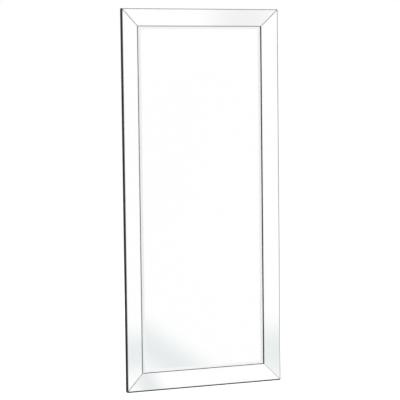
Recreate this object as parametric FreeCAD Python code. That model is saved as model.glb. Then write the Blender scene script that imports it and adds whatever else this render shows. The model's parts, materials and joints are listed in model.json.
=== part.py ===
import FreeCAD, Part
import math
import os

# A full-length mirror: a black fibreboard back with four wedge-shaped rails that slope inwards,
# mirror strips mitred round a bevelled centre mirror, and folding hanging rings on the back.
# Millimetres. +Z is up, the mirror faces -Y and the wall is the plane Y = 0.
# The origin is on the wall, midway between the two hook points of the upright position.

# Panel as a whole
HEIGHT = 1600.0
WIDTH = 700.0
BORDER_WIDTH = 72.0

# Back board and wedge rails
BOARD_THICKNESS = 3.0
BOARD_EDGE_RADIUS = 1.5
RAIL_OUTER_THICKNESS = 18.0
RAIL_INNER_THICKNESS = 4.0

# Mirror strips of the border
STRIP_THICKNESS = 4.0
STRIP_ARRIS = 1.8
STRIP_SETBACK = 0.4
MITRE_GAP = 0.4

# Centre mirror
CENTRE_THICKNESS = 5.0
CENTRE_EDGE_THICKNESS = 2.5
CENTRE_BEVEL_WIDTH = 12.0
CENTRE_SIDE_GAP = 2.5
CENTRE_END_GAP = 1.0

# Blocks that carry the weight of the centre mirror
BLOCK_LENGTH = 60.0
BLOCK_DEPTH = 3.0
BLOCK_END_OFFSET = 110.0

# Bonding tape
TAPE_THICKNESS = 1.0
STRIP_TAPE_WIDTH = 19.0
STRIP_TAPE_MARGIN = 6.0
STRIP_TAPE_END_MARGIN = 12.0
CENTRE_TAPE_WIDTH = 25.0
CENTRE_TAPE_MARGIN = 30.0
CENTRE_TAPE_PITCH = 125.0

# Countersunk screws that hold the rails to the board
RAIL_SCREW_DIAMETER = 3.5
RAIL_SCREW_HEAD_DIAMETER = 7.0
RAIL_SCREW_BITE = 9.0
RAIL_SCREW_INSET = 18.0
RAIL_SCREW_END_OFFSET = 62.0
RAIL_SCREW_PITCH = 360.0

# Hanger straps, each folded round the bar of a ring
STRAP_GAUGE = 1.0
STRAP_WIDTH = 16.0
STRAP_FOLD_ANGLE = 38.0
STRAP_HOLE_PITCH = 12.0
STRAP_END_MARGIN = 8.0
EYE_CLEARANCE = 0.1

# Hanging rings
RING_WIRE_DIAMETER = 3.0
RING_CORNER_RADIUS = 3.5
RING_LEG = 6.0
RING_SIDE_PLAY = 2.0
RING_REST_GAP = 0.3
RING_WIRE_FLATS = 8

# Pan-head screws of the hangers
HANGER_SCREW_DIAMETER = 3.5
HANGER_SCREW_HEAD_DIAMETER = 7.0
HANGER_SCREW_HEAD_HEIGHT = 2.4
HANGER_SCREW_BITE = 7.0
HANGER_SCREW_GAP = 3.0

# Places of the hangers
HANGER_INSET = 30.0
UPRIGHT_HOOK_DROP = 240.0
SIDEWAYS_HOOK_DROP = 150.0

# Wall bumpers
BUMPER_HEIGHT = 6.0
BUMPER_BASE_DIAMETER = 16.0
BUMPER_FACE_DIAMETER = 12.0
BUMPER_RIM = 0.8
BUMPER_FLATS = 18
BUMPER_INSET = 40.0

# Flats of a screw, its clearance in its hole, and the overrun of every cut
SCREW_FLATS = 10
HOLE_CLEARANCE = 0.05
OVERRUN = 2.0

# Levels along Y
BOARD_BACK = -BUMPER_HEIGHT
BOARD_FRONT = BOARD_BACK - BOARD_THICKNESS

# Slope of the border
SLOPE = math.atan2(RAIL_OUTER_THICKNESS - RAIL_INNER_THICKNESS, BORDER_WIDTH)
SLOPE_LENGTH = BORDER_WIDTH / math.cos(SLOPE)

# Ring and strap sizes that follow from the ones above
WIRE_RADIUS = RING_WIRE_DIAMETER / 2
EYE_RADIUS = WIRE_RADIUS + EYE_CLEARANCE
BAR_HEIGHT = STRAP_GAUGE + EYE_RADIUS
TONGUE_THICKNESS = STRAP_GAUGE * 2
RING_HALF_WIDTH = STRAP_WIDTH / 2 + RING_SIDE_PLAY + RING_CORNER_RADIUS
RING_INNER_REACH = RING_LEG + RING_HALF_WIDTH - WIRE_RADIUS
RING_OUTER_REACH = RING_INNER_REACH + RING_WIRE_DIAMETER
FIRST_HOLE = RING_OUTER_REACH + HANGER_SCREW_GAP + HANGER_SCREW_HEAD_DIAMETER / 2
STRAP_HOLES = (FIRST_HOLE, FIRST_HOLE + STRAP_HOLE_PITCH)
STRAP_REACH = STRAP_HOLES[-1] + STRAP_END_MARGIN

# Centre of the panel, so that the upright hook points lie on Z = 0
PANEL_CENTRE = FreeCAD.Vector(0, 0, UPRIGHT_HOOK_DROP - HEIGHT / 2)

# Each side by its turn about Y from the bottom side, its length, and the reach from the panel's centre
SIDES = {
    "bottom": (0, WIDTH, HEIGHT / 2),
    "left": (90, HEIGHT, WIDTH / 2),
    "top": (180, WIDTH, HEIGHT / 2),
    "right": (-90, HEIGHT, WIDTH / 2),
}
RAIL_NAMES = {"bottom": "bottom_rail", "left": "left_stile", "top": "top_rail", "right": "right_stile"}

X_AXIS = FreeCAD.Vector(1, 0, 0)
Y_AXIS = FreeCAD.Vector(0, 1, 0)
ORIGIN = FreeCAD.Vector(0, 0, 0)


def polygon(points):
    """Flat face through the given corners."""
    return Part.Face(Part.makePolygon(points + points[:1]))


def layered_solid(loops):
    """Solid whose flat sides join one closed loop of corners to the next."""
    faces = [polygon(loops[0]), polygon(loops[-1])]
    for lower, upper in zip(loops, loops[1:]):
        for here, after in zip(range(len(lower)), [*range(1, len(lower)), 0]):
            faces.append(polygon([lower[here], lower[after], upper[after], upper[here]]))
    solid = Part.makeSolid(Part.makeShell(faces))
    solid.fix(0, 0, 0)
    return solid


def place_on_side(shape, side):
    """Move a shape from the frame of a side, where Z is inwards from the outer edge, onto the panel."""
    turn, _, reach = SIDES[side]
    placed = shape.copy()
    placed.translate(FreeCAD.Vector(0, 0, -reach))
    placed.rotate(ORIGIN, Y_AXIS, turn)
    placed.translate(PANEL_CENTRE)
    return placed


def on_slope(along, inward, lift):
    """Point in a side's frame, measured inwards down the slope and up from the slope's face."""
    across = inward * math.cos(SLOPE) + lift * math.sin(SLOPE)
    rise = RAIL_OUTER_THICKNESS - inward * math.sin(SLOPE) + lift * math.cos(SLOPE)
    return FreeCAD.Vector(along, BOARD_FRONT - rise, across)


def line(start, end):
    """Straight edge between two points."""
    return Part.LineSegment(start, end).toShape()


def arc(start, middle, end):
    """Round edge through three points."""
    return Part.Arc(start, middle, end).toShape()


def flat_sided(radii_and_levels, flats):
    """Solid about the Y axis with a few flats, through a regular outline of each radius at each level."""
    loops = []
    for radius, level in radii_and_levels:
        angles = [2 * math.pi * (corner + 0.5) / flats for corner in range(flats)]
        loops.append([FreeCAD.Vector(radius * math.cos(a), level, radius * math.sin(a)) for a in angles])
    return layered_solid(loops)


def spaced(first, last, pitch):
    """Evenly spaced places from first to last, close to the pitch."""
    steps = max(1, round((last - first) / pitch))
    return [first + (last - first) * step / steps for step in range(steps + 1)]


def rail_screw(clearance=0):
    """Countersunk screw on the Y axis, its flat head at Y = 0 and its end towards -Y."""
    shank = RAIL_SCREW_DIAMETER / 2 + clearance
    head = RAIL_SCREW_HEAD_DIAMETER / 2 + clearance
    end = -BOARD_THICKNESS - RAIL_SCREW_BITE - clearance
    return flat_sided([(head, 0), (shank, shank - head), (shank, end)], SCREW_FLATS)


def rail_screw_places(side):
    """Centres of one rail's screws in the side's frame, on the back of the board."""
    half = SIDES[side][1] / 2 - RAIL_SCREW_END_OFFSET
    places = spaced(-half, half, RAIL_SCREW_PITCH)
    return [FreeCAD.Vector(along, BOARD_BACK, RAIL_SCREW_INSET) for along in places]


def rail_screws(side, clearance=0):
    """Screws of one rail, in the side's frame."""
    screws = []
    for place in rail_screw_places(side):
        screw = rail_screw(clearance)
        screw.translate(place)
        screws.append(screw)
    return Part.makeCompound(screws)


def hanger_screw(clearance=0):
    """Pan-head screw on the Y axis, seated at Y = 0 with its end towards -Y."""
    shank = HANGER_SCREW_DIAMETER / 2 + clearance
    head = HANGER_SCREW_HEAD_DIAMETER / 2
    crown = HANGER_SCREW_HEAD_HEIGHT
    rim = crown / 2
    end = -TONGUE_THICKNESS - BOARD_THICKNESS - HANGER_SCREW_BITE - clearance
    shape = [(head - rim, crown), (head, rim), (head, 0), (shank, 0), (shank, end)]
    return flat_sided(shape, SCREW_FLATS)


def hanger_places():
    """Bar centre and turn about Y of each hanger, by name. A turn of 90 makes the ring pull towards +X."""
    beside = WIDTH / 2 - HANGER_INSET
    above = HEIGHT / 2 - HANGER_INSET
    bar_back = BOARD_BACK + BAR_HEIGHT
    upright_bar = HEIGHT / 2 - UPRIGHT_HOOK_DROP - RING_INNER_REACH
    sideways_bar = WIDTH / 2 - SIDEWAYS_HOOK_DROP - RING_INNER_REACH
    places = {
        "upright_left": (FreeCAD.Vector(-beside, bar_back, upright_bar), 0),
        "upright_right": (FreeCAD.Vector(beside, bar_back, upright_bar), 0),
        "sideways_top": (FreeCAD.Vector(sideways_bar, bar_back, above), 90),
        "sideways_bottom": (FreeCAD.Vector(sideways_bar, bar_back, -above), 90),
    }
    return {name: (PANEL_CENTRE + centre, turn) for name, (centre, turn) in places.items()}


def place_hanger(shape, name):
    """Move a shape from the frame of a hanger, where the bar lies on X, onto the board."""
    centre, turn = hanger_places()[name]
    placed = shape.copy()
    placed.rotate(ORIGIN, Y_AXIS, turn)
    placed.translate(centre)
    return placed


def hanger_screws(name, clearance=0):
    """Both screws of one hanger, in place."""
    screws = []
    for hole in STRAP_HOLES:
        screw = hanger_screw(clearance)
        screw.translate(FreeCAD.Vector(0, TONGUE_THICKNESS - BAR_HEIGHT, -hole))
        screws.append(screw)
    return place_hanger(Part.makeCompound(screws), name)


def fold_profile(radius, foot):
    """Points of a teardrop round the bar: an arc, then a slanting run down to the foot's level."""
    fold = math.radians(STRAP_FOLD_ANGLE)
    tip_reach = (radius - foot * math.cos(fold)) / math.sin(fold)
    low = FreeCAD.Vector(0, -radius, 0)
    back = FreeCAD.Vector(0, 0, radius)
    leave = FreeCAD.Vector(0, radius * math.cos(fold), -radius * math.sin(fold))
    tip = FreeCAD.Vector(0, foot, -tip_reach)
    return low, back, leave, tip


def hanger_strap():
    """Strap folded double round the ring's bar, with its tongue towards -Z and its back on the board."""
    outer = EYE_RADIUS + STRAP_GAUGE
    low, back, leave, tip = fold_profile(outer, TONGUE_THICKNESS - BAR_HEIGHT)
    end = FreeCAD.Vector(0, tip.y, -STRAP_REACH)
    end_foot = FreeCAD.Vector(0, low.y, -STRAP_REACH)
    fold = [arc(low, back, leave), line(leave, tip)]
    outside = fold + [line(tip, end), line(end, end_foot), line(end_foot, low)]
    low, back, leave, tip = fold_profile(EYE_RADIUS, -EYE_RADIUS)
    inside = [arc(low, back, leave), line(leave, tip), line(tip, low)]
    width = FreeCAD.Vector(STRAP_WIDTH, 0, 0)
    strap = Part.Face(Part.Wire(outside)).extrude(width)
    strap = strap.cut(Part.Face(Part.Wire(inside)).extrude(width))
    strap.translate(-width / 2)
    return strap.common(strap_outline()).cut(strap_holes()).Solids[0]


def strap_outline():
    """Upright prism with the strap's plan: straight sides and a round end."""
    half = STRAP_WIDTH / 2
    shoulder = half - STRAP_REACH
    left_top = FreeCAD.Vector(-half, 0, RING_INNER_REACH)
    right_top = FreeCAD.Vector(half, 0, RING_INNER_REACH)
    left = FreeCAD.Vector(-half, 0, shoulder)
    right = FreeCAD.Vector(half, 0, shoulder)
    end = FreeCAD.Vector(0, 0, -STRAP_REACH)
    plan = [line(left_top, right_top), line(right_top, right), arc(right, end, left), line(left, left_top)]
    prism = Part.Face(Part.Wire(plan)).extrude(FreeCAD.Vector(0, RING_OUTER_REACH * 2, 0))
    prism.translate(FreeCAD.Vector(0, -RING_OUTER_REACH, 0))
    return prism


def strap_holes():
    """Drill for both screw holes of a strap."""
    radius = HANGER_SCREW_DIAMETER / 2 + HOLE_CLEARANCE
    drills = []
    for hole in STRAP_HOLES:
        drill = flat_sided([(radius, OVERRUN), (radius, -BAR_HEIGHT - OVERRUN)], SCREW_FLATS)
        drill.translate(FreeCAD.Vector(0, 0, -hole))
        drills.append(drill)
    return Part.makeCompound(drills)


def ring_rest_angle():
    """Lean at which a hanging ring lies on the tongue of its strap, in degrees."""
    half = STRAP_WIDTH / 2
    reach = RING_LEG + math.sqrt(RING_HALF_WIDTH ** 2 - half ** 2)
    lift = TONGUE_THICKNESS + RING_REST_GAP + WIRE_RADIUS - BAR_HEIGHT
    return math.degrees(math.asin(lift / reach))


def wire_section(centre):
    """Cross-section of the ring's wire, square to X: a regular outline with a few flats."""
    corners = []
    for corner in range(RING_WIRE_FLATS):
        angle = 2 * math.pi * (corner + 0.5) / RING_WIRE_FLATS
        corners.append(centre + FreeCAD.Vector(0, math.cos(angle), math.sin(angle)) * WIRE_RADIUS)
    return Part.makePolygon(corners + corners[:1])


def hanging_ring():
    """D-shaped ring of bent wire on a bar along X, hanging towards -Z and leaning on its strap."""
    half, corner = RING_HALF_WIDTH, RING_CORNER_RADIUS
    bend = corner * (1 - math.cos(math.pi / 4))
    bar_left = FreeCAD.Vector(corner - half, 0, 0)
    bar_right = FreeCAD.Vector(half - corner, 0, 0)
    leg_left = FreeCAD.Vector(-half, 0, -corner)
    leg_right = FreeCAD.Vector(half, 0, -corner)
    foot_left = FreeCAD.Vector(-half, 0, -RING_LEG)
    foot_right = FreeCAD.Vector(half, 0, -RING_LEG)
    path = Part.Wire([
        line(bar_left, bar_right),
        arc(bar_right, FreeCAD.Vector(half - bend, 0, -bend), leg_right),
        line(leg_right, foot_right),
        arc(foot_right, FreeCAD.Vector(0, 0, -RING_LEG - half), foot_left),
        line(foot_left, leg_left),
        arc(leg_left, FreeCAD.Vector(bend - half, 0, -bend), bar_left),
    ])
    ring = path.makePipeShell([wire_section(bar_left)], True, False)
    ring.rotate(ORIGIN, X_AXIS, ring_rest_angle())
    return ring


def back_board():
    """Flat board as large as the panel, with rounded back edges and its screw holes."""
    corner = PANEL_CENTRE + FreeCAD.Vector(-WIDTH / 2, BOARD_FRONT, -HEIGHT / 2)
    board = Part.makeBox(WIDTH, BOARD_THICKNESS, HEIGHT, corner)
    back_edges = [edge for edge in board.Edges if abs(edge.BoundBox.YMin - BOARD_BACK) < BOARD_THICKNESS / 2]
    board = board.makeFillet(BOARD_EDGE_RADIUS, back_edges)
    for side in SIDES:
        board = board.cut(place_on_side(rail_screws(side, HOLE_CLEARANCE), side))
    for name in hanger_places():
        board = board.cut(hanger_screws(name, HOLE_CLEARANCE))
    return board.Solids[0]


def wedge_rail(side):
    """Mitred rail, thick at the outer edge and thin at the inner edge, with its screw holes."""
    half = SIDES[side][1] / 2
    loops = []
    for across, rise in ((0, RAIL_OUTER_THICKNESS), (BORDER_WIDTH, RAIL_INNER_THICKNESS)):
        reach = half - across
        loops.append([
            FreeCAD.Vector(-reach, BOARD_FRONT, across),
            FreeCAD.Vector(reach, BOARD_FRONT, across),
            FreeCAD.Vector(reach, BOARD_FRONT - rise, across),
            FreeCAD.Vector(-reach, BOARD_FRONT - rise, across),
        ])
    rail = place_on_side(layered_solid(loops), side)
    rail = rail.cut(place_on_side(rail_screws(side, HOLE_CLEARANCE), side))
    for name in hanger_places():
        rail = rail.cut(hanger_screws(name, HOLE_CLEARANCE))
    return rail.Solids[0]


def strip_loop(side, inset, lift):
    """Corners of a mirror strip at one height above the slope, drawn in by the inset on all edges."""
    half = SIDES[side][1] / 2
    end_trim = MITRE_GAP * math.sqrt(0.5) + inset * math.hypot(1, math.cos(SLOPE))
    loop = []
    for inward, ends in ((STRIP_SETBACK + inset, (-1, 1)), (SLOPE_LENGTH - inset, (1, -1))):
        for end in ends:
            across = on_slope(0, inward, lift).z
            loop.append(on_slope(end * (half - across - end_trim), inward, lift))
    return loop


def mirror_strip(side):
    """Mirror strip bonded to a rail's slope, with mitred ends and a fine arris round its front."""
    back = TAPE_THICKNESS
    front = TAPE_THICKNESS + STRIP_THICKNESS
    loops = [
        strip_loop(side, 0, back),
        strip_loop(side, 0, front - STRIP_ARRIS),
        strip_loop(side, STRIP_ARRIS, front),
    ]
    return place_on_side(layered_solid(loops), side)


def strip_tape(side):
    """Two runs of bonding tape between a rail's slope and its mirror strip."""
    half = SIDES[side][1] / 2
    outer_run = STRIP_SETBACK + STRIP_TAPE_MARGIN
    inner_run = SLOPE_LENGTH - STRIP_TAPE_MARGIN - STRIP_TAPE_WIDTH
    runs = []
    for start in (outer_run, inner_run):
        end = start + STRIP_TAPE_WIDTH
        reach = half - end - STRIP_TAPE_END_MARGIN
        loops = []
        for lift in (0, TAPE_THICKNESS):
            corners = ((-reach, start), (reach, start), (reach, end), (-reach, end))
            loops.append([on_slope(along, inward, lift) for along, inward in corners])
        runs.append(layered_solid(loops))
    return place_on_side(Part.makeCompound(runs), side)


def centre_half_sizes():
    """Half width and half height of the centre mirror."""
    half_width = WIDTH / 2 - BORDER_WIDTH - CENTRE_SIDE_GAP
    half_height = HEIGHT / 2 - BORDER_WIDTH - CENTRE_END_GAP
    return half_width, half_height


def centre_loop(inset, rise):
    """Corners of the centre mirror at one height above the board, drawn in by the inset."""
    half_width, half_height = centre_half_sizes()
    corners = ((-1, -1), (1, -1), (1, 1), (-1, 1))
    level = BOARD_FRONT - rise
    loop = []
    for across, up in corners:
        place = FreeCAD.Vector(across * (half_width - inset), level, up * (half_height - inset))
        loop.append(PANEL_CENTRE + place)
    return loop


def centre_mirror():
    """Centre mirror with a wide flat bevel on all four front edges."""
    return layered_solid([
        centre_loop(0, TAPE_THICKNESS),
        centre_loop(0, TAPE_THICKNESS + CENTRE_EDGE_THICKNESS),
        centre_loop(CENTRE_BEVEL_WIDTH, TAPE_THICKNESS + CENTRE_THICKNESS),
    ])


def centre_tape():
    """Upright runs of bonding tape between the board and the centre mirror."""
    half_width, half_height = centre_half_sizes()
    length = 2 * (half_height - CENTRE_TAPE_MARGIN)
    edge = half_width - CENTRE_TAPE_MARGIN - CENTRE_TAPE_WIDTH / 2
    runs = []
    for middle in spaced(-edge, edge, CENTRE_TAPE_PITCH):
        place = FreeCAD.Vector(middle - CENTRE_TAPE_WIDTH / 2, BOARD_FRONT - TAPE_THICKNESS, -length / 2)
        runs.append(Part.makeBox(CENTRE_TAPE_WIDTH, TAPE_THICKNESS, length, PANEL_CENTRE + place))
    return Part.makeCompound(runs)


def setting_blocks():
    """Two thin blocks between the centre mirror's lower edge and the bottom rail."""
    half_width, half_height = centre_half_sizes()
    blocks = []
    back = BOARD_FRONT - BLOCK_DEPTH
    for middle in (BLOCK_END_OFFSET - half_width, half_width - BLOCK_END_OFFSET):
        place = FreeCAD.Vector(middle - BLOCK_LENGTH / 2, back, -half_height - CENTRE_END_GAP)
        blocks.append(Part.makeBox(BLOCK_LENGTH, BLOCK_DEPTH, CENTRE_END_GAP, PANEL_CENTRE + place))
    return Part.makeCompound(blocks)


def wall_bumper():
    """Rubber bumper on the Y axis, its wide base at the board and its softened face at the wall."""
    base = BUMPER_BASE_DIAMETER / 2
    face = BUMPER_FACE_DIAMETER / 2
    return flat_sided([(base, BOARD_BACK), (face, -BUMPER_RIM), (face - BUMPER_RIM, 0)], BUMPER_FLATS)


def wall_bumpers():
    """Four bumpers near the corners of the back."""
    bumpers = []
    for across in (-1, 1):
        for up in (-1, 1):
            bumper = wall_bumper()
            place = FreeCAD.Vector(across * (WIDTH / 2 - BUMPER_INSET), 0, up * (HEIGHT / 2 - BUMPER_INSET))
            bumper.translate(PANEL_CENTRE + place)
            bumpers.append(bumper)
    return Part.makeCompound(bumpers)


def build():
    """All pieces by name."""
    pieces = {"back_board": back_board()}
    for side, rail_name in RAIL_NAMES.items():
        pieces[rail_name] = wedge_rail(side)
        pieces[f"{side}_mirror_strip"] = mirror_strip(side)
        pieces[f"{side}_strip_tape"] = strip_tape(side)
    pieces["rail_screws"] = Part.makeCompound([place_on_side(rail_screws(side), side) for side in SIDES])
    pieces["centre_mirror"] = centre_mirror()
    pieces["centre_tape"] = centre_tape()
    pieces["setting_blocks"] = setting_blocks()
    for name in hanger_places():
        pieces[f"{name}_strap"] = place_hanger(hanger_strap(), name)
        pieces[f"{name}_ring"] = place_hanger(hanging_ring(), name)
    pieces["hanger_screws"] = Part.makeCompound([hanger_screws(name) for name in hanger_places()])
    pieces["wall_bumpers"] = wall_bumpers()
    return pieces


def main():
    """Write one STEP file for each piece."""
    os.makedirs("parts", exist_ok=True)
    for name, shape in build().items():
        shape.exportStep(f"parts/{name}.step")


if __name__ == "__main__":
    main()
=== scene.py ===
"""Looks of a full-length mirror with a sloping mirrored border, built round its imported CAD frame.

Metres. +Z is up, the mirror faces -Y and its bumpers touch the wall plane Y = 0.
"""

import json
import logging
import math
from dataclasses import dataclass, field
from enum import Enum
from typing import Any, Sequence

import bmesh
import bpy
import numpy as np
from mathutils import Matrix, Vector


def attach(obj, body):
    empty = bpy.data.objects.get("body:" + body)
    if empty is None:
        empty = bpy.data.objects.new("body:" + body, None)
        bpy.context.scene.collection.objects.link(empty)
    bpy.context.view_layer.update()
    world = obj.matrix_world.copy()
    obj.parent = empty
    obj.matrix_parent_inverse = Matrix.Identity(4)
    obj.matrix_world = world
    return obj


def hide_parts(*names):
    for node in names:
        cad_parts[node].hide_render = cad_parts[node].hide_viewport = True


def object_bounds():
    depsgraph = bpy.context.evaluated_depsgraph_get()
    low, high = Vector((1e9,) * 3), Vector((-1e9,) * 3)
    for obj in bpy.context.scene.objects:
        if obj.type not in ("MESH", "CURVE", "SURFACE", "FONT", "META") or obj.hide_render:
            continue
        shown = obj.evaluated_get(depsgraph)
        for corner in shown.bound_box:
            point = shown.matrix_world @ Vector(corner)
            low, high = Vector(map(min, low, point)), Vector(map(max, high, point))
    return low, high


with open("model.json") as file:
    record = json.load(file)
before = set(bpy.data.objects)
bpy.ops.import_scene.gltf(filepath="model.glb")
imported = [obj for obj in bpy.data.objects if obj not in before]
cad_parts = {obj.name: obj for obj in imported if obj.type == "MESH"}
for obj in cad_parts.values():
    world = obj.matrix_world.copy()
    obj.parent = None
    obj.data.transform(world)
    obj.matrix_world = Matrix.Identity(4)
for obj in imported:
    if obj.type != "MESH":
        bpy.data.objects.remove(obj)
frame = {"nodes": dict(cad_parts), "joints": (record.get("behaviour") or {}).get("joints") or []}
CAD_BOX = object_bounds()

LOG = logging.getLogger("mirror")
MM = 0.001
PANEL = "mirror_panel"

Colour = tuple[float, float, float]
Place = tuple[float, float, float]
Span = tuple[float, float]
Points = np.ndarray
Socket = bpy.types.NodeSocket
Sockets = bpy.types.bpy_prop_collection
Value = float | Colour | Socket

NEUTRAL: Colour = (0.80, 0.80, 0.80)

# New points closer than SAME_POINT become one. CAD points are rounded to DECIMALS, and those within
# SAME_LEVEL of the foremost one lie on its level.
SAME_POINT = 0.001 * MM
SAME_LEVEL = 0.01 * MM
DECIMALS = 6


class Slot(Enum):
    """Material slots of the record."""

    MIRROR_GLASS = "mirror_glass"
    BLACK_BOARD = "black_board"
    BONDING_TAPE = "bonding_tape"
    SETTING_BLOCK = "setting_block"
    ZINC_STEEL = "zinc_steel"
    BUMPER_RUBBER = "bumper_rubber"


class Side(Enum):
    """Sides of the border."""

    BOTTOM = "bottom"
    LEFT = "left"
    TOP = "top"
    RIGHT = "right"


class Head(Enum):
    """Kinds of screw head."""

    PAN = "pan"
    COUNTERSUNK = "countersunk"


class Tree:
    """Short ways to add nodes to one node tree and to join them.

    The numbers are those of a Mix node's sockets for colours: its share, its two colours and its result.
    """

    MIX_INPUTS = (0, 6, 7)
    MIX_OUTPUT = 2

    def __init__(self, tree: bpy.types.NodeTree) -> None:
        """Keep the node tree.

        Args:
            tree: The node tree to add to.
        """
        self.tree = tree

    def add(self, kind: str, inputs: dict[str | int, Value] | None = None, **settings: Any) -> bpy.types.Node:
        """Add one node.

        Args:
            kind: The node's type name.
            inputs: Values or output sockets for its inputs, by name or number.
            settings: The node's own properties.

        Returns:
            The new node.
        """
        node = self.tree.nodes.new(kind)
        for name, value in settings.items():
            setattr(node, name, value)
        for name, value in (inputs or {}).items():
            self.feed(node.inputs[name], value)
        return node

    def feed(self, socket: Socket, value: Value) -> None:
        """Join an output to an input, or set the input's own value.

        Args:
            socket: The input.
            value: An output socket, a number, a colour or a vector.
        """
        if isinstance(value, Socket):
            self.tree.links.new(value, socket)
        elif socket.type == "RGBA":
            socket.default_value = (*value, 1.0)
        else:
            socket.default_value = value

    def math(self, operation: str, *values: Value, clamp: bool = False) -> Socket:
        """Output of a Math node.

        Args:
            operation: The operation's name.
            values: Its numbers or output sockets.
            clamp: Whether the result is kept from 0 to 1.

        Returns:
            The result's socket.
        """
        node = self.add("ShaderNodeMath", dict(enumerate(values)), operation=operation, use_clamp=clamp)
        return node.outputs[0]

    def parts(self, vector: Value) -> Sockets:
        """X, Y and Z of a vector, as sockets by those names."""
        return self.add("ShaderNodeSeparateXYZ", {0: vector}).outputs

    def ramp(self, value: Value, start: float, end: float) -> Socket:
        """Smooth step of a value: 0 at the start, 1 at the end and level outside.

        Args:
            value: The number or socket.
            start: Value that gives 0.
            end: Value that gives 1, above or below the start.

        Returns:
            The result's socket.
        """
        inputs = {"Value": value, "From Min": start, "From Max": end}
        return self.add("ShaderNodeMapRange", inputs, interpolation_type="SMOOTHSTEP").outputs["Result"]

    def blend(self, share: Value, first: Value, second: Value) -> Socket:
        """Colour between two colours.

        Args:
            share: Share of the second colour.
            first: First colour or socket.
            second: Second colour or socket.

        Returns:
            The colour's socket.
        """
        node = self.add("ShaderNodeMix", data_type="RGBA")
        for number, value in zip(self.MIX_INPUTS, (share, first, second)):
            self.feed(node.inputs[number], value)
        return node.outputs[self.MIX_OUTPUT]

    def group(self, group: bpy.types.NodeTree, **inputs: Value) -> bpy.types.Node:
        """Place a node group.

        Args:
            group: The group's tree.
            inputs: Values or sockets by input name, in small letters.

        Returns:
            The group's node.
        """
        node = self.add("ShaderNodeGroup", node_tree=group)
        for name, value in inputs.items():
            self.feed(node.inputs[name.title()], value)
        return node

    def seen(self) -> Socket:
        """Tell what is seen from what only lights.

        Returns:
            Socket of 1 for what is seen directly, in gloss or through glass, and of 0 for the rest.
        """
        path = self.add("ShaderNodeLightPath").outputs
        shine = self.math("ADD", path["Is Glossy Ray"], path["Is Transmission Ray"])
        return self.math("ADD", path["Is Camera Ray"], shine, clamp=True)


@dataclass
class Effects:
    """Shader node groups that more than one finish uses, each built once.

    A span holds the two values between which a mask runs smoothly from 0 to 1: of the noise for the grain,
    of the normal's part along Y for edge, turned face and bevel, of the smaller of its parts along X and Z
    for the slant, and of its part along Z for the upper face.
    """

    drift_span: Span = (0.30, 0.70)
    relief_span: Span = (0.25, 0.75)
    speck_span: Span = (0.70, 0.80)
    drift_detail: float = 3.0
    relief_detail: float = 2.0
    speck_detail: float = 4.0
    speck_seed: float = 7.0
    edge_span: Span = (0.45, 0.35)
    turned_span: Span = (0.93, 0.88)
    bevel_span: Span = (0.995, 0.985)
    slant_span: Span = (0.20, 0.30)
    upper_span: Span = (0.05, 0.15)
    grain: bpy.types.NodeTree = field(init=False)
    faces: bpy.types.NodeTree = field(init=False)

    def __post_init__(self) -> None:
        """Build the groups."""
        self.grain = self._grain()
        self.faces = self._faces()

    @staticmethod
    def _group(name: str, inputs: dict[str, str], outputs: Sequence[str]) -> tuple[Tree, Sockets, Sockets]:
        """Empty node group with named sockets.

        Args:
            name: The group's name.
            inputs: Socket type by input name.
            outputs: Names of its number outputs.

        Returns:
            The tree, the group's input sockets inside it, and its output sockets inside it.
        """
        tree = bpy.data.node_groups.new(name, "ShaderNodeTree")
        for socket, kind in inputs.items():
            tree.interface.new_socket(name=socket, in_out="INPUT", socket_type=kind)
        for socket in outputs:
            tree.interface.new_socket(name=socket, in_out="OUTPUT", socket_type="NodeSocketFloat")
        made = Tree(tree)
        return made, made.add("NodeGroupInput").outputs, made.add("NodeGroupOutput").inputs

    def _grain(self) -> bpy.types.NodeTree:
        """Grain: drift from a broad noise, and relief and specks from two fine ones.

        Returns:
            The group's tree.
        """
        kinds = {"Vector": "NodeSocketVector", "Broad": "NodeSocketFloat", "Fine": "NodeSocketFloat"}
        made, given, result = self._group("grain", kinds, ("Drift", "Relief", "Specks"))
        broad = {"Vector": given["Vector"], "Scale": given["Broad"]}
        fine = {"Vector": given["Vector"], "Scale": given["Fine"]}
        dust = {**fine, "Detail": self.speck_detail, "W": self.speck_seed}
        drift = made.add("ShaderNodeTexNoise", {**broad, "Detail": self.drift_detail})
        relief = made.add("ShaderNodeTexNoise", {**fine, "Detail": self.relief_detail})
        specks = made.add("ShaderNodeTexNoise", dust, noise_dimensions="4D")
        made.feed(result["Drift"], made.ramp(drift.outputs["Fac"], *self.drift_span))
        made.feed(result["Relief"], made.ramp(relief.outputs["Fac"], *self.relief_span))
        made.feed(result["Specks"], made.ramp(specks.outputs["Fac"], *self.speck_span))
        return made.tree

    def _faces(self) -> bpy.types.NodeTree:
        """Kinds of glass face by how far the face turns from the front: bevel, arris or ground edge.

        A face on a mitre is told from the others by its slant: it turns sideways as well as up or down.

        Returns:
            The group's tree.
        """
        kinds = ("Bevel", "Upper", "Arris", "Mitre", "Edge", "Slant")
        made, given, result = self._group("glass_faces", {"Normal": "NodeSocketVector"}, kinds)
        turn = made.parts(given["Normal"])
        side, facing, rise = (made.math("ABSOLUTE", turn[axis]) for axis in "XYZ")
        edge = made.ramp(facing, *self.edge_span)
        turned = made.math("SUBTRACT", made.ramp(facing, *self.turned_span), edge)
        slant = made.ramp(made.math("MINIMUM", side, rise), *self.slant_span)
        mitre = made.math("MULTIPLY", turned, slant)
        bevel = made.ramp(facing, *self.bevel_span)
        made.feed(result["Bevel"], bevel)
        made.feed(result["Upper"], made.math("MULTIPLY", bevel, made.ramp(turn["Z"], *self.upper_span)))
        made.feed(result["Arris"], made.math("SUBTRACT", turned, mitre))
        made.feed(result["Mitre"], mitre)
        made.feed(result["Edge"], edge)
        made.feed(result["Slant"], slant)
        return made.tree


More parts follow.
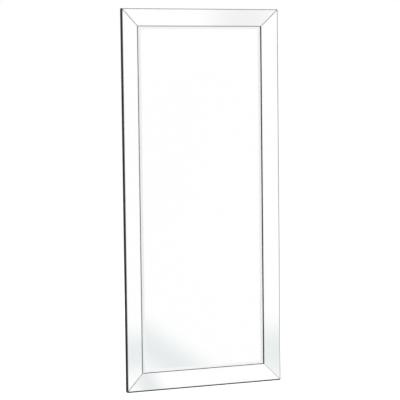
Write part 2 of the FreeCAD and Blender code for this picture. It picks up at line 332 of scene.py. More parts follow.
@dataclass(frozen=True)
class Finish:
    """A procedural finish with its own material."""

    name: str
    slot: Slot

    def material(self, effects: Effects) -> bpy.types.Material:
        """Make the finish's material.

        Args:
            effects: Shared node groups.

        Returns:
            The new material.
        """
        material = bpy.data.materials.new(self.name)
        material.use_nodes = True
        tree = Tree(material.node_tree)
        self.shade(tree, material.node_tree.nodes["Principled BSDF"].inputs, effects)
        return material

    def shade(self, tree: Tree, surface: Sockets, effects: Effects) -> None:
        """Fill in the shader.

        Args:
            tree: The material's node tree.
            surface: Inputs of the Principled shader.
            effects: Shared node groups.
        """
        raise NotImplementedError

    @staticmethod
    def bump(tree: Tree, surface: Sockets, height: Value, depth: float, strength: float) -> None:
        """Join a relief to the shader's normal.

        Args:
            tree: The material's node tree.
            surface: Inputs of the Principled shader.
            height: Relief from 0 to 1.
            depth: Depth of the relief in metres.
            strength: Share of the relief that shows.
        """
        inputs = {"Height": height, "Distance": depth, "Strength": strength}
        tree.feed(surface["Normal"], tree.add("ShaderNodeBump", inputs).outputs["Normal"])


@dataclass(frozen=True)
class ClearGlass(Finish):
    """Clear float glass: polished faces, ground arrises and edges, and lightly seamed mitres.

    The mitre at the lower right is tinted paler than the other three, as in the photograph. That corner
    starts where X and Z have passed the pale corner spans. The roughness varies with the grit by the spread.
    """

    clear: Colour = (1.0, 1.0, 1.0)
    mitre: Colour = (0.54, 0.58, 0.57)
    pale_corner_mitre: Colour = (0.96, 0.97, 0.97)
    # Near-black edge tint: partly the ground edge's own dark tone, partly painted shade for the dark board
    # and shadowed floor it mirrors.
    edge: Colour = (0.016, 0.021, 0.020)
    mitre_roughness: float = 0.18
    edge_roughness: float = 0.40
    index: float = 1.52
    grit: float = 2600.0
    grit_depth: float = 0.00004
    grit_strength: float = 0.5
    spread: Span = (0.85, 1.15)
    pale_corner_right: Span = (0.0, 0.1)
    pale_corner_below: Span = (-0.5, -0.6)

    def polished(self, tree: Tree, faces: Sockets) -> Value:
        """Tint of the polished faces: the same all over."""
        return self.clear

    def shade(self, tree: Tree, surface: Sockets, effects: Effects) -> None:
        """Tint and dull the faces that aren't polished, with the grit of the grinding belt; the dark edge
        tint is partly painted shade.

        Args:
            tree: The material's node tree.
            surface: Inputs of the Principled shader.
            effects: Shared node groups.
        """
        place = tree.add("ShaderNodeTexCoord").outputs
        faces = tree.group(effects.faces, normal=place["Normal"]).outputs
        grain = tree.group(effects.grain, vector=place["Object"], fine=self.grit).outputs
        ground = tree.math("ADD", faces["Arris"], faces["Edge"], clamp=True)
        dull = tree.math("ADD", ground, faces["Mitre"], clamp=True)
        spot = tree.parts(place["Object"])
        right, below = tree.ramp(spot["X"], *self.pale_corner_right), tree.ramp(spot["Z"], *self.pale_corner_below)
        # fine: share of the lower-right mitre, which is tinted paler by its place.
        fine = tree.math("MULTIPLY", tree.math("MULTIPLY", right, below), faces["Slant"])
        tint = tree.blend(faces["Mitre"], self.polished(tree, faces), self.mitre)
        # Arrises and ground edges go near black: partly their own tone, partly painted shade.
        tint = tree.blend(ground, tint, self.edge)
        rough = tree.math("MULTIPLY", faces["Mitre"], self.mitre_roughness)
        rough = tree.math("MULTIPLY_ADD", ground, self.edge_roughness, rough)
        low, high = self.spread
        spread = tree.math("MULTIPLY_ADD", grain["Relief"], high - low, low)
        tree.feed(surface["Base Color"], tree.blend(fine, tint, self.pale_corner_mitre))
        tree.feed(surface["Roughness"], tree.math("MULTIPLY", rough, spread))
        tree.feed(surface["IOR"], self.index)
        tree.feed(surface["Transmission Weight"], 1.0)
        grit = tree.math("MULTIPLY", grain["Relief"], dull)
        self.bump(tree, surface, grit, self.grit_depth, self.grit_strength)


@dataclass(frozen=True)
class BevelledGlass(ClearGlass):
    """Clear glass whose bevel is tinted grey as a painted reflection of grey surroundings, paler along its
    upper edge.
    """

    # Painted reflection: grey tints on the bevel stand in for grey surroundings it mirrors, paler on the
    # upper bevel.
    bevel: Colour = (0.86, 0.868, 0.868)
    upper_bevel_painted_reflection: Colour = (0.955, 0.962, 0.962)

    def polished(self, tree: Tree, faces: Sockets) -> Value:
        """Tint of the polished faces: clear on the flat, with a painted grey reflection on the bevel."""
        painted_bevel_reflection = tree.blend(faces["Bevel"], self.clear, self.bevel)
        return tree.blend(faces["Upper"], painted_bevel_reflection, self.upper_bevel_painted_reflection)


@dataclass(frozen=True)
class Silvering(Finish):
    """Silver coat behind the glass, with a very faint drift in brightness."""

    bright: Colour = (1.0, 1.0, 1.0)
    faint: Colour = (0.994, 0.996, 0.997)
    broad: float = 1.5

    def shade(self, tree: Tree, surface: Sockets, effects: Effects) -> None:
        """Mirror metal whose brightness drifts slowly over the pane.

        Args:
            tree: The material's node tree.
            surface: Inputs of the Principled shader.
            effects: Shared node groups.
        """
        place = tree.add("ShaderNodeTexCoord").outputs["Object"]
        grain = tree.group(effects.grain, vector=place, broad=self.broad).outputs
        tree.feed(surface["Base Color"], tree.blend(grain["Drift"], self.bright, self.faint))
        tree.feed(surface["Metallic"], 1.0)
        tree.feed(surface["Roughness"], 0.0)


@dataclass(frozen=True)
class Coating(Finish):
    """An opaque coat or plain material with drift in tone, fine relief and specks."""

    tone: Colour = (0.5, 0.5, 0.5)
    drift_tone: Colour = (0.5, 0.5, 0.5)
    speck_tone: Colour = (0.5, 0.5, 0.5)
    speck_share: float = 0.0
    roughness: Span = (0.5, 0.6)
    metallic: float = 0.0
    specular: float = 0.5
    broad: float = 8.0
    fine: float = 900.0
    depth: float = 0.0002
    strength: float = 0.2

    def shade(self, tree: Tree, surface: Sockets, effects: Effects) -> None:
        """Mix the tones by the grain and let its fine part set roughness and relief.

        Args:
            tree: The material's node tree.
            surface: Inputs of the Principled shader.
            effects: Shared node groups.
        """
        place = tree.add("ShaderNodeTexCoord").outputs["Object"]
        grain = tree.group(effects.grain, vector=place, broad=self.broad, fine=self.fine).outputs
        tone = tree.blend(grain["Drift"], self.tone, self.drift_tone)
        specks = tree.math("MULTIPLY", grain["Specks"], self.speck_share)
        low, high = self.roughness
        tree.feed(surface["Base Color"], tree.blend(specks, tone, self.speck_tone))
        tree.feed(surface["Roughness"], tree.math("MULTIPLY_ADD", grain["Relief"], high - low, low))
        tree.feed(surface["Metallic"], self.metallic)
        tree.feed(surface["Specular IOR Level"], self.specular)
        self.bump(tree, surface, grain["Relief"], self.depth, self.strength)


@dataclass(frozen=True)
class DrawnWire(Finish):
    """Zinc on drawn wire: faint streaks that follow the wire."""

    tone: Colour = (0.60, 0.61, 0.62)
    streak_tone: Colour = (0.46, 0.47, 0.48)
    roughness: Span = (0.24, 0.42)
    along: float = 6.0
    around: float = 26.0
    broad: float = 1.0
    fine: float = 5.0
    depth: float = 0.00004
    strength: float = 0.4

    def shade(self, tree: Tree, surface: Sockets, effects: Effects) -> None:
        """Stretch the grain along the wire by the piece's own map: U runs along it, V round it.

        Args:
            tree: The material's node tree.
            surface: Inputs of the Principled shader.
            effects: Shared node groups.
        """
        place = tree.add("ShaderNodeTexCoord").outputs["UV"]
        scale = (self.along, self.around, 1.0)
        stretched = tree.add("ShaderNodeMapping", {"Vector": place, "Scale": scale}).outputs["Vector"]
        grain = tree.group(effects.grain, vector=stretched, broad=self.broad, fine=self.fine).outputs
        low, high = self.roughness
        tree.feed(surface["Base Color"], tree.blend(grain["Relief"], self.tone, self.streak_tone))
        tree.feed(surface["Roughness"], tree.math("MULTIPLY_ADD", grain["Drift"], high - low, low))
        tree.feed(surface["Metallic"], 1.0)
        self.bump(tree, surface, grain["Relief"], self.depth, self.strength)


GLASS = ClearGlass("clear_glass", Slot.MIRROR_GLASS)
BEVELLED = BevelledGlass("bevelled_glass", Slot.MIRROR_GLASS)
SILVER = Silvering("silvering", Slot.MIRROR_GLASS)
PAINT = Coating(
    "black_paint", Slot.BLACK_BOARD,
    tone=(0.0062, 0.0062, 0.0068), drift_tone=(0.0085, 0.0085, 0.0090), speck_tone=(0.035, 0.035, 0.035),
    speck_share=0.6, roughness=(0.55, 0.74), specular=0.07,
    broad=7.0, fine=850.0, depth=0.00025, strength=0.22,
)
BOARD = Coating(
    "black_fibreboard", Slot.BLACK_BOARD,
    tone=(0.0090, 0.0090, 0.0095), drift_tone=(0.0150, 0.0150, 0.0155), speck_tone=(0.060, 0.058, 0.055),
    speck_share=0.8, roughness=(0.50, 0.78), specular=0.14,
    broad=11.0, fine=520.0, depth=0.0004, strength=0.35,
)
FOAM = Coating(
    "foam_tape", Slot.BONDING_TAPE,
    tone=(0.66, 0.66, 0.64), drift_tone=(0.58, 0.58, 0.56), speck_tone=(0.30, 0.30, 0.29),
    speck_share=0.8, roughness=(0.80, 0.95), specular=0.2,
    broad=60.0, fine=1600.0, depth=0.0003, strength=0.6,
)
BLOCK = Coating(
    "grey_plastic", Slot.SETTING_BLOCK,
    tone=(0.20, 0.20, 0.21), drift_tone=(0.25, 0.25, 0.26), speck_tone=(0.32, 0.32, 0.33),
    speck_share=0.5, roughness=(0.45, 0.60),
    broad=50.0, fine=1500.0, depth=0.0001, strength=0.2,
)
ZINC = Coating(
    "zinc_plate", Slot.ZINC_STEEL,
    tone=(0.60, 0.61, 0.62), drift_tone=(0.50, 0.51, 0.53), speck_tone=(0.36, 0.36, 0.37),
    speck_share=0.5, roughness=(0.26, 0.44), metallic=1.0,
    broad=220.0, fine=2200.0, depth=0.00006, strength=0.35,
)
WIRE = DrawnWire("zinc_wire", Slot.ZINC_STEEL)
RUBBER = Coating(
    "moulded_rubber", Slot.BUMPER_RUBBER,
    tone=(0.022, 0.022, 0.023), drift_tone=(0.032, 0.032, 0.033), speck_tone=(0.07, 0.07, 0.07),
    speck_share=0.5, roughness=(0.70, 0.88), specular=0.25,
    broad=120.0, fine=1800.0, depth=0.0002, strength=0.4,
)


class Maker:
    """Turns arrays of points into pieces and gives pieces and CAD nodes their finishes."""

    def __init__(self) -> None:
        """Build the shared effects, and keep each finish's material once it is made."""
        self.effects = Effects()
        self.materials: dict[Finish, bpy.types.Material] = {}

    def sheet(self, name: str, points: Points, around: bool = False, closed: bool = False,
              smooth: float = 40.0, mapped: bool = False) -> bpy.types.Object:
        """Mesh of one or more grids of points.

        Each grid cell is a quad whose corners are (i, j), (i+1, j), (i+1, j+1), (i, j+1). Equal points,
        such as a pole's, become one.

        Args:
            name: The piece's name.
            points: Array of shape (copies, rows, columns, 3), or (rows, columns, 3) for one grid.
            around: Whether the last column joins the first.
            closed: Whether the last row joins the first.
            smooth: Largest angle between faces that shade as one, in degrees, or 0 for flat faces.
            mapped: Whether the grid's own row and column shares are kept as a UV map.

        Returns:
            The new object.
        """
        grids = points.reshape(-1, *points.shape[-3:])
        copies, rows, columns = grids.shape[:3]
        i, j = np.meshgrid(np.arange(rows - (not closed)), np.arange(columns - (not around)), indexing="ij")
        after_i, after_j = (i + 1) % rows, (j + 1) % columns
        here, after = i * columns, after_i * columns
        corners = np.stack([here + j, after + j, after + after_j, here + after_j], -1).reshape(-1, 4)
        starts = np.arange(copies) * rows * columns
        faces = (corners + starts[:, None, None]).reshape(-1, 4)
        mesh = bpy.data.meshes.new(name)
        mesh.from_pydata(grids.reshape(-1, 3).tolist(), [], faces.tolist())
        if mapped:
            along = np.stack([i, i + 1, i + 1, i], -1) / rows
            across = np.stack([j, j, j + 1, j + 1], -1) / columns
            shares = np.stack([along, across], -1)
            layer = mesh.uv_layers.new(name="map")
            layer.data.foreach_set("uv", np.tile(shares.reshape(-1), copies).astype(np.float32))
        return self._finished(name, mesh, smooth)

    @staticmethod
    def _finished(name: str, mesh: bpy.types.Mesh, smooth: float) -> bpy.types.Object:
        """Merge equal points, turn the faces outwards and shade the mesh.

        Args:
            name: The object's name.
            mesh: The mesh.
            smooth: Largest angle between faces that shade as one, in degrees.

        Returns:
            The new object, linked to the scene.
        """
        work = bmesh.new()
        work.from_mesh(mesh)
        bmesh.ops.remove_doubles(work, verts=work.verts, dist=SAME_POINT)
        bmesh.ops.recalc_face_normals(work, faces=work.faces)
        work.to_mesh(mesh)
        work.free()
        mesh.polygons.foreach_set("use_smooth", np.full(len(mesh.polygons), smooth > 0))
        mesh.set_sharp_from_angle(angle=math.radians(smooth))
        made = bpy.data.objects.new(name, mesh)
        bpy.context.scene.collection.objects.link(made)
        return made

    def dress(self, piece: bpy.types.Object, finish: Finish) -> None:
        """Give an object one finish.

        Args:
            piece: The object.
            finish: Its finish.
        """
        if finish not in self.materials:
            self.materials[finish] = finish.material(self.effects)
        piece.data.materials.clear()
        piece.data.materials.append(self.materials[finish])
        LOG.info("%s: %s", piece.name, finish.name)

    def dress_node(self, node: str, finish: Finish) -> None:
        """Give a CAD node one finish.

        Args:
            node: The node's name.
            finish: Its finish.
        """
        self.dress(frame["nodes"][node], finish)

    def add(self, piece: bpy.types.Object, finish: Finish, body: str, *stands_for: str) -> None:
        """Dress a new piece, let it ride on a body and hide what it stands for.

        Args:
            piece: The new object.
            finish: Its finish.
            body: CAD body that it moves with.
            stands_for: CAD nodes that it replaces.
        """
        self.dress(piece, finish)
        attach(piece, body)
        if stands_for:
            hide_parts(*stands_for)


def node_points(node: str) -> Points:
    """Corner points of a CAD node's triangles.

    Args:
        node: The node's name.

    Returns:
        Array of shape (triangles, 3, 3).
    """
    mesh = frame["nodes"][node].data
    places = np.zeros(len(mesh.vertices) * 3, np.float32)
    mesh.vertices.foreach_get("co", places)
    mesh.calc_loop_triangles()
    corners = np.zeros(len(mesh.loop_triangles) * 3, np.int32)
    mesh.loop_triangles.foreach_get("vertices", corners)
    return places.reshape(-1, 3).astype(float)[corners].reshape(-1, 3, 3)


def rear_centres(node: str, spread: float) -> Points:
    """Rear ends of the axes of a node's equal solids, whose axes run along Y.

    An axis goes through the middle of its solid's points at the foremost level, which are the tip of a screw
    or the base of a bumper. Points closer together than the spread belong to one solid.

    Args:
        node: The node's name.
        spread: Distance that parts two solids.

    Returns:
        Array of shape (solids, 3).
    """
    points = np.unique(node_points(node).reshape(-1, 3).round(DECIMALS), axis=0)
    front = points[points[:, 1] < points[:, 1].min() + SAME_LEVEL]
    near = np.linalg.norm(front[:, None] - front[None], axis=-1) < spread
    first = near.argmax(axis=1)
    centres = np.stack([front[first == label].mean(axis=0) for label in np.unique(first)])
    centres[:, 1] = points[:, 1].max()
    return centres


def arc(centre: tuple[float, float], radius: float, start: float, end: float, steps: int) -> Points:
    """Points evenly round part of a circle: the centre plus the radius times (cos a, sin a).

    Args:
        centre: The circle's centre.
        radius: Its radius.
        start: First angle in degrees.
        end: Last angle in degrees.
        steps: Count of points.

    Returns:
        Array of shape (steps, 2).
    """
    angle = np.radians(np.linspace(start, end, steps))
    return np.array(centre) + radius * np.stack([np.cos(angle), np.sin(angle)], -1)


def disc(u: Points, v: Points) -> tuple[Points, Points]:
    """Square from -1 to 1 drawn round: u * sqrt(1 - v*v/2) and v * sqrt(1 - u*u/2)."""
    return u * np.sqrt(1 - v * v / 2), v * np.sqrt(1 - u * u / 2)


def patch(corners: Points, rows: int, columns: int) -> Points:
    """Bilinear patch: the two long edges are divided evenly and joined by straight lines.

    Args:
        corners: Four corners in order, shape (4, 3).
        rows: Points across.
        columns: Points along.

    Returns:
        Array of shape (rows, columns, 3).
    """
    across = np.linspace(0, 1, rows)[:, None, None]
    along = np.linspace(0, 1, columns)[None, :, None]
    first = corners[0] * (1 - along) + corners[1] * along
    second = corners[3] * (1 - along) + corners[2] * along
    return first * (1 - across) + second * across


@dataclass
class MirrorPane:
    """A pane of clear glass with its silver coat."""

    node: str
    glass: ClearGlass = GLASS
    coat_depth: float = 0.06 * MM
    coat_thickness: float = 0.03 * MM
    coat_inset: float = 0.3 * MM
    back_facing: float = 0.9
    rows: int = 5
    columns: int = 9

    def back_corners(self) -> tuple[Points, Points]:
        """Corners of the glass's back face, in order round it, and the direction to its front.

        The back face is the one whose normal has a part along Y of more than the back facing.

        Returns:
            Array of shape (4, 3) and a unit vector.
        """
        triangles = node_points(self.node)
        normals = np.cross(triangles[:, 1] - triangles[:, 0], triangles[:, 2] - triangles[:, 0])
        normals /= np.linalg.norm(normals, axis=1)[:, None]
        back = normals[:, 1] > self.back_facing
        corners = np.unique(triangles[back].reshape(-1, 3).round(DECIMALS), axis=0)
        spokes = corners - corners.mean(axis=0)
        order = np.argsort(np.arctan2(spokes[:, 2], spokes[:, 0]))
        return corners[order], -normals[back].mean(axis=0)

    def build(self, maker: Maker) -> None:
        """Dress the glass and lay the silver just inside its back face.

        The coat's corners are the back's, moved towards the front by the depth and inwards by the inset.

        Args:
            maker: Maker of pieces.
        """
        maker.dress_node(self.node, self.glass)
        corners, front = self.back_corners()
        inward = np.sign((corners.mean(axis=0) - corners).round(DECIMALS)) * self.coat_inset
        corners = corners + front * self.coat_depth + inward * (1 - np.abs(front))
        silver = maker.sheet(f"{self.node}_silver", patch(corners, self.rows, self.columns), smooth=0.0)
        coat = silver.modifiers.new("thickness", "SOLIDIFY")
        coat.thickness = self.coat_thickness
        coat.offset = -1.0
        maker.add(silver, SILVER, PANEL)


@dataclass
class Body:
    """Back board, wedge rails, tapes and setting blocks."""

    board: str = "back_board"
    rails: tuple[str, ...] = ("bottom_rail", "left_stile", "top_rail", "right_stile")
    blocks: str = "setting_blocks"
    centre_tape: str = "centre_tape"

    def build(self, maker: Maker) -> None:
        """Dress the nodes of the body.

        Args:
            maker: Maker of pieces.
        """
        maker.dress_node(self.board, BOARD)
        for node in self.rails:
            maker.dress_node(node, PAINT)
        for node in (self.centre_tape, *(f"{side.value}_strip_tape" for side in Side)):
            maker.dress_node(node, FOAM)
        maker.dress_node(self.blocks, BLOCK)


@dataclass
class Hanger:
    """A folded strap with its hanging ring of bent wire."""

    joint: dict[str, Any]
    wire: float = 3.0 * MM
    corner: float = 3.5 * MM
    leg: float = 6.0 * MM
    half_width: float = 13.5 * MM
    strap_half_width: float = 8.0 * MM
    strap_gauge: float = 1.0 * MM
    eye_clearance: float = 0.1 * MM
    rest_gap: float = 0.3 * MM
    bar_points: int = 7
    corner_points: int = 10
    end_points: int = 40
    around: int = 20

    def lean(self) -> float:
        """Angle at which the ring rests on its strap: its sine is the lift over the reach.

        The reach runs from the bar to where the ring passes over the strap's side, and the lift is how far
        the wire's middle rises on the way.

        Returns:
            The angle in radians.
        """
        reach = self.leg + math.sqrt(self.half_width ** 2 - self.strap_half_width ** 2)
        lift = self.strap_gauge + self.rest_gap - self.eye_clearance
        return math.asin(lift / reach)

    def path(self) -> Points:
        """Centreline of the ring in its own plane: bar, corner, leg, half circle, leg, corner.

        A corner is an arc of the corner's radius and the end is a half circle of the half width.

        Returns:
            Array of shape (points, 2), across and down, closed.
        """
        straight = self.half_width - self.corner
        across = np.linspace(-straight, straight, self.bar_points + 2)[1:-1]
        bar = np.stack([across, np.zeros(self.bar_points)], -1)
        right = arc((straight, -self.corner), self.corner, 90, 0, self.corner_points)
        end = arc((0.0, -self.leg), self.half_width, 0, -180, self.end_points)
        left = arc((-straight, -self.corner), self.corner, 180, 90, self.corner_points)
        return np.concatenate([bar, right, end, left])

    def ring(self) -> Points:
        """Round wire carried along the ring's path.

        A point is the path's point plus the wire's radius times cos(a) of the path's normal and sin(a) of
        the direction square to the ring. The ring then leans and is set on its hinge.

        Returns:
            Array of shape (path points, points round the wire, 3).
        """
        path = self.path()
        run = np.roll(path, -1, axis=0) - np.roll(path, 1, axis=0)
        run /= np.linalg.norm(run, axis=1)[:, None]
        normal = np.stack([run[:, 1], -run[:, 0]], -1)
        angle = np.linspace(0, 2 * math.pi, self.around, endpoint=False)
        flat = path[:, None] + self.wire / 2 * np.cos(angle)[None, :, None] * normal[:, None]
        lift = np.broadcast_to(self.wire / 2 * np.sin(angle), flat.shape[:2])
        lean = self.lean()
        out = lift * math.cos(lean) - flat[..., 1] * math.sin(lean)
        down = lift * math.sin(lean) + flat[..., 1] * math.cos(lean)
        axis = np.array(self.joint["axis"], float)
        wall = np.array([0.0, 1.0, 0.0])
        up = np.cross(axis, wall)
        hinge = np.array(self.joint["pos_m"])
        return hinge + flat[..., :1] * axis + out[..., None] * wall + down[..., None] * up

    def build(self, maker: Maker) -> None:
        """Make the ring and dress the strap.

        Args:
            maker: Maker of pieces.
        """
        body = self.joint["child"]
        ring = maker.sheet(f"{body}_wire", self.ring(), around=True, closed=True, mapped=True)
        maker.add(ring, WIRE, body, body)
        maker.dress_node(body.replace("_ring", "_strap"), ZINC)


@dataclass
class Screws:
    """Equal screws of one node, with a cross recess in each head.

    Recess reach and width, wall, neck, tip and spare lines are places on the head's square grid, from 0 in
    the middle to 1 at the rim. The recess gets shallower towards its ends by the share of the recess rise,
    and the point starts at its share of the length.
    """

    node: str
    head: Head
    radius: float = 3.5 * MM
    shank: float = 1.6 * MM
    crown: float = 2.4 * MM
    length: float = 14.0 * MM
    proud: float = 0.05 * MM
    recess_reach: float = 0.56
    recess_width: float = 0.13
    recess_depth: float = 1.3 * MM
    recess_rise: float = 0.55
    wall: float = 0.03
    neck: float = 0.90
    tip: float = 0.42
    spare_lines: tuple[float, ...] = (0.28, 0.72, 0.82, 0.96)
    pan_power: int = 4
    flat_power: int = 16
    point_start: float = 0.8
    spread: float = 6.4 * MM

    def lines(self) -> Points:
        """Places of the grid's lines from -1 to 1, with pairs at the walls of the recess.

        Returns:
            The places in rising order.
        """
        walls = [self.recess_width - self.wall, self.recess_width + self.wall]
        reach = [self.recess_reach - self.wall, self.recess_reach + self.wall]
        half = np.sort([0.0, *walls, *reach, self.tip, self.neck, *self.spare_lines, 1.0])
        return np.concatenate([-half[:0:-1], half])

    def face(self) -> Points:
        """Face of the head, a square grid drawn round.

        With r the distance from the axis as a share of the radius, the height is the crown times the root of
        1 - r**4 on a pan head, and the proud height times 1 - r**16 on a countersunk one. The cross sinks it
        where the smaller of |u| and |v| of the grid is inside the recess's width and the larger inside its
        reach.

        Returns:
            Array of shape (lines, lines, 3), with the height along Y.
        """
        u, v = np.meshgrid(self.lines(), self.lines(), indexing="ij")
        across, down = disc(u, v)
        reach = np.clip(np.hypot(across, down), 0, 1)
        if self.head is Head.PAN:
            height = self.crown * (1 - reach ** self.pan_power) ** 0.5
        else:
            height = self.proud * (1 - reach ** self.flat_power)
        small, large = np.minimum(np.abs(u), np.abs(v)), np.maximum(np.abs(u), np.abs(v))
        inside = (small < self.recess_width) & (large < self.recess_reach)
        sink = self.recess_depth * (1 - self.recess_rise * large / self.recess_reach)
        height = np.where(inside, height - sink, height)
        return np.stack([across * self.radius, height, down * self.radius], -1)

    def stem(self) -> Points:
        """Underside, shank and point on the same square grid, so that its rim meets the face's.

        The square ring whose larger of |u| and |v| is m becomes a circle. Its radius and level run in
        straight lines from the rim at m = 1 to the neck, along the shank to the start of the point, and to
        the tip at m = 0.

        Returns:
            Array of shape (lines, lines, 3), with the height along Y.
        """
        u, v = np.meshgrid(self.lines(), self.lines(), indexing="ij")
        ring = np.maximum(np.abs(u), np.abs(v))
        across, down = disc(*(part / np.where(ring > 0, ring, 1) for part in (u, v)))
        under = self.shank - self.radius if self.head is Head.COUNTERSUNK else 0.0
        stations = (0.0, self.tip, self.neck, 1.0)
        radius = np.interp(ring, stations, (0.0, self.shank, self.shank, self.radius))
        level = np.interp(ring, stations, (-self.length, -self.point_start * self.length, under, 0.0))
        return np.stack([radius * across, level, radius * down], -1)

    def build(self, maker: Maker) -> None:
        """Make the screws in place of the node, each a closed form of face and stem.

        Args:
            maker: Maker of pieces.
        """
        seats = rear_centres(self.node, self.spread)
        if self.head is Head.PAN:
            seats = seats - np.array([0.0, self.crown, 0.0])
        form = np.stack([self.face(), self.stem()])
        piece = maker.sheet(f"{self.node}_turned", form + seats[:, None, None, None])
        maker.add(piece, ZINC, PANEL, self.node)


@dataclass
class Bumpers:
    """Rubber bumpers that touch the wall."""

    node: str = "wall_bumpers"
    height: float = 6.0 * MM
    base: float = 8.0 * MM
    face: float = 6.0 * MM
    rim: float = 1.0 * MM
    rim_points: int = 8
    around: int = 48
    spread: float = 24.0 * MM

    def build(self, maker: Maker) -> None:
        """Turn each bumper's profile about Y: a straight taper, a round rim and a flat face.

        The rim is a quarter circle of the rim's radius between the taper and the face.

        Args:
            maker: Maker of pieces.
        """
        rim = arc((self.face - self.rim, -self.rim), self.rim, 0, 90, self.rim_points)
        profile = np.concatenate([[(0.0, -self.height), (self.base, -self.height)], rim, [(0.0, 0.0)]])
        angle = np.linspace(0, 2 * math.pi, self.around, endpoint=False)[None, :]
        level = np.broadcast_to(profile[:, 1:], (len(profile), self.around))
        form = np.stack([profile[:, :1] * np.cos(angle), level, profile[:, :1] * np.sin(angle)], -1)
        places = rear_centres(self.node, self.spread)
        piece = maker.sheet("wall_bumpers_round", form + places[:, None, None], around=True)
        maker.add(piece, RUBBER, PANEL, self.node)


@dataclass(frozen=True)
class SoftShade:
    """A soft grey surface in the studio, as the mirror sees it: a window of directions in degrees.

    Azimuth is from -Y towards +X and elevation is above the horizon. Soft is the width of the window's soft
    border in azimuth and in elevation.
    """

    azimuth: Span
    elevation: Span
    soft: Span
    depth: float
    shear: float = 0.0
    tone: Colour = (0.787, 0.823, 0.835)

    def mask(self, tree: Tree, azimuth: Socket, elevation: Socket) -> Socket:
        """Share of grey in a direction.

        Each bound is a smooth step, and the shear slants the azimuth bounds below the upper elevation.

        Args:
            tree: The world's node tree.
            azimuth: Socket of the azimuth.
            elevation: Socket of the elevation.

        Returns:
            The share's socket.
        """
        (left, right), (low, high), (aside, above) = self.azimuth, self.elevation, self.soft
        slant = tree.math("MULTIPLY_ADD", tree.math("SUBTRACT", elevation, high), self.shear, azimuth)
        steps = (
            tree.ramp(slant, left - aside, left),
            tree.ramp(slant, right + aside, right),
            tree.ramp(elevation, low - above, low),
            tree.ramp(elevation, high + above, high),
        )
        share: Value = self.depth
        for step in steps:
            share = tree.math("MULTIPLY", share, step)
        return share


@dataclass(frozen=True)
class SoftLamp:
    """A large square lamp that points at the middle of the mirror."""

    name: str
    place: Place
    side: float
    watts: float

    def build(self) -> None:
        """Make the lamp, which the camera itself doesn't see."""
        light = bpy.data.lights.new(self.name, "AREA")
        light.size = self.side
        light.energy = self.watts
        lamp = bpy.data.objects.new(self.name, light)
        middle = (CAD_BOX[0] + CAD_BOX[1]) / 2
        lamp.location = self.place
        lamp.rotation_mode = "QUATERNION"
        lamp.rotation_quaternion = (middle - Vector(self.place)).to_track_quat("-Z", "Y")
        lamp.visible_camera = False
        bpy.context.scene.collection.objects.link(lamp)


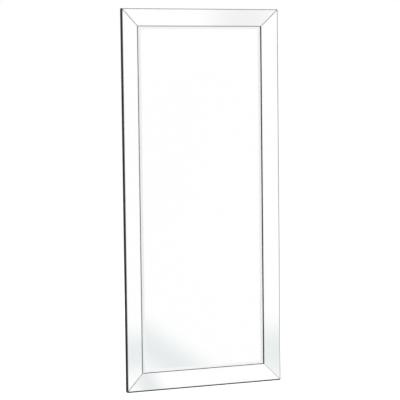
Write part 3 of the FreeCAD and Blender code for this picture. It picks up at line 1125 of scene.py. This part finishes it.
@dataclass
class Studio:
    """White studio: surroundings, floor and soft lamps.

    The shades are seen in the centre mirror and in the right, left, top and bottom strips, in that order. The
    floor's glow sets in between the two distances of the contact from the outline of the mirror's foot, which
    leaves a painted contact shadow round the foot.
    """

    white: Colour = (1.0, 1.0, 1.0)
    ambient: float = 0.62
    floor_tone: Colour = (0.52, 0.52, 0.52)
    floor_glow: float = 0.70
    floor_reach: float = 60.0
    foot_gap: float = 2.5 * MM
    contact: Span = (-1.0 * MM, 2.0 * MM)
    shades: tuple[SoftShade, ...] = (
        SoftShade((16.35, 16.45), (-10.45, -8.0), soft=(2.05, 0.35), depth=0.88, shear=1.44),
        SoftShade((-8.0, 8.0), (-10.05, -9.75), soft=(2.0, 1.4), depth=0.80),
        SoftShade((36.5, 50.0), (-10.0, -9.85), soft=(1.5, 1.18), depth=0.80),
        SoftShade((23.6, 23.9), (-19.5, -17.0), soft=(1.8, 1.0), depth=0.55, tone=NEUTRAL),
        SoftShade((18.03, 18.08), (8.5, 11.5), soft=(0.75, 1.0), depth=0.88, shear=0.43),
    )
    lamps: tuple[SoftLamp, ...] = (
        SoftLamp("key", place=(-1.8, -3.0, 1.6), side=2.4, watts=62.0),
        SoftLamp("overhead", place=(0.6, -1.2, 2.4), side=2.6, watts=46.0),
        SoftLamp("behind", place=(0.8, 3.2, 1.4), side=2.4, watts=50.0),
    )

    def build(self) -> None:
        """Make the surroundings, the floor and the lamps."""
        self.surroundings()
        self.floor()
        for lamp in self.lamps:
            lamp.build()

    def surroundings(self) -> None:
        """White where they are seen, and a level light for the rest.

        The soft shades show in the mirror, and not where the camera itself looks at the surroundings.
        """
        world = bpy.data.worlds.new("studio")
        world.use_nodes = True
        bpy.context.scene.world = world
        tree = Tree(world.node_tree)
        world.node_tree.nodes.clear()
        way = tree.parts(tree.add("ShaderNodeTexCoord").outputs["Generated"])
        azimuth = tree.math("ARCTAN2", way["X"], tree.math("MULTIPLY", way["Y"], -1.0))
        azimuth = tree.math("DEGREES", azimuth)
        elevation = tree.math("DEGREES", tree.math("ARCSINE", way["Z"]))
        mirrored = tree.math("SUBTRACT", 1.0, tree.add("ShaderNodeLightPath").outputs["Is Camera Ray"])
        seen: Value = self.white
        for shade in self.shades:
            share = tree.math("MULTIPLY", shade.mask(tree, azimuth, elevation), mirrored)
            seen = tree.blend(share, seen, shade.tone)
        light = tuple(self.ambient * part for part in self.white)
        tone = tree.blend(tree.seen(), light, seen)
        back = tree.add("ShaderNodeBackground", {"Color": tone, "Strength": 1.0})
        out = tree.add("ShaderNodeOutputWorld")
        tree.tree.links.new(back.outputs[0], out.inputs["Surface"])

    def floor(self) -> None:
        """Pale floor under the mirror's lower edge that keeps the shadow, with a painted contact shadow round
        the foot.
        """
        level = CAD_BOX[0].z - self.foot_gap
        square = np.array([(-1, -1), (1, -1), (1, 1), (-1, 1)]) * self.floor_reach
        corners = np.column_stack([square, np.full(len(square), level)])
        mesh = bpy.data.meshes.new("floor")
        mesh.from_pydata(corners.tolist(), [], [(0, 1, 2, 3)])
        floor = bpy.data.objects.new("floor", mesh)
        bpy.context.scene.collection.objects.link(floor)
        floor.visible_glossy = False
        floor.visible_transmission = False
        material = bpy.data.materials.new("pale_floor")
        material.use_nodes = True
        tree = Tree(material.node_tree)
        material.node_tree.nodes.clear()
        matt = tree.add("ShaderNodeBsdfDiffuse", {"Color": self.floor_tone})
        # Painted contact shadow: the glow is taken away under and just round the mirror's foot.
        open_floor = tree.math("SUBTRACT", 1.0, self.painted_contact_shadow(tree))
        strength = tree.math("MULTIPLY", tree.math("MULTIPLY", tree.seen(), self.floor_glow), open_floor)
        glow = tree.add("ShaderNodeEmission", {"Color": self.white, "Strength": strength})
        both = tree.add("ShaderNodeAddShader", {0: matt.outputs[0], 1: glow.outputs[0]})
        out = tree.add("ShaderNodeOutputMaterial")
        tree.tree.links.new(both.outputs[0], out.inputs["Surface"])
        mesh.materials.append(material)

    def painted_contact_shadow(self, tree: Tree) -> Socket:
        """Painted contact shadow: share of the floor's glow taken away round the foot, 1 under it and 0
        beside it.

        Args:
            tree: The floor's node tree.

        Returns:
            The share's socket.
        """
        place = tree.parts(tree.add("ShaderNodeTexCoord").outputs["Object"])
        share: Value = 1.0
        near, far = self.contact
        for axis in "XY":
            low, high = (getattr(corner, axis.lower()) for corner in CAD_BOX)
            reach = tree.math("ABSOLUTE", tree.math("SUBTRACT", place[axis], (low + high) / 2))
            beyond = tree.math("SUBTRACT", reach, (high - low) / 2)
            share = tree.math("MULTIPLY", share, tree.ramp(beyond, far, near))
        return share


@dataclass
class Viewpoint:
    """Camera at the photograph's viewing angle."""

    place: Place = (-2.3027, -6.0363, -0.0886)
    pitch: float = 4.229
    turn: float = -20.845
    roll: float = -0.692
    focal_pixels: float = 1523.7
    frame_pixels: float = 400.0
    sensor: float = 36.0

    def build(self) -> None:
        """Make the camera.

        Right, down and forward are the rows of roll * pitch * turn in axes of right, down and away, which
        are X, -Z and Y here.
        """
        roll, pitch, turn = (math.radians(angle) for angle in (self.roll, self.pitch, self.turn))
        turned = Matrix.Rotation(roll, 3, "Z") @ Matrix.Rotation(pitch, 3, "X")
        turned = turned @ Matrix.Rotation(turn, 3, "Y")
        right, down, forward = (Vector((row.x, row.z, -row.y)) for row in turned)
        data = bpy.data.cameras.new("photograph")
        data.sensor_width = self.sensor
        data.lens = self.focal_pixels / self.frame_pixels * self.sensor
        camera = bpy.data.objects.new("photograph", data)
        facing = Matrix((right, -down, -forward)).transposed().to_4x4()
        camera.matrix_world = Matrix.Translation(self.place) @ facing
        bpy.context.scene.collection.objects.link(camera)
        bpy.context.scene.camera = camera


def main() -> None:
    """Build and dress the mirror, then the studio and the camera."""
    logging.basicConfig(level=logging.INFO, format="%(name)s: %(message)s")
    bpy.context.scene.view_settings.view_transform = "Standard"
    maker = Maker()
    for side in Side:
        MirrorPane(f"{side.value}_mirror_strip").build(maker)
    MirrorPane("centre_mirror", BEVELLED).build(maker)
    Body().build(maker)
    for joint in frame["joints"]:
        Hanger(joint).build(maker)
    Screws("hanger_screws", Head.PAN).build(maker)
    Screws("rail_screws", Head.COUNTERSUNK).build(maker)
    Bumpers().build(maker)
    Studio().build()
    Viewpoint().build()
    bpy.context.view_layer.update()


if __name__ == "__main__":
    main()
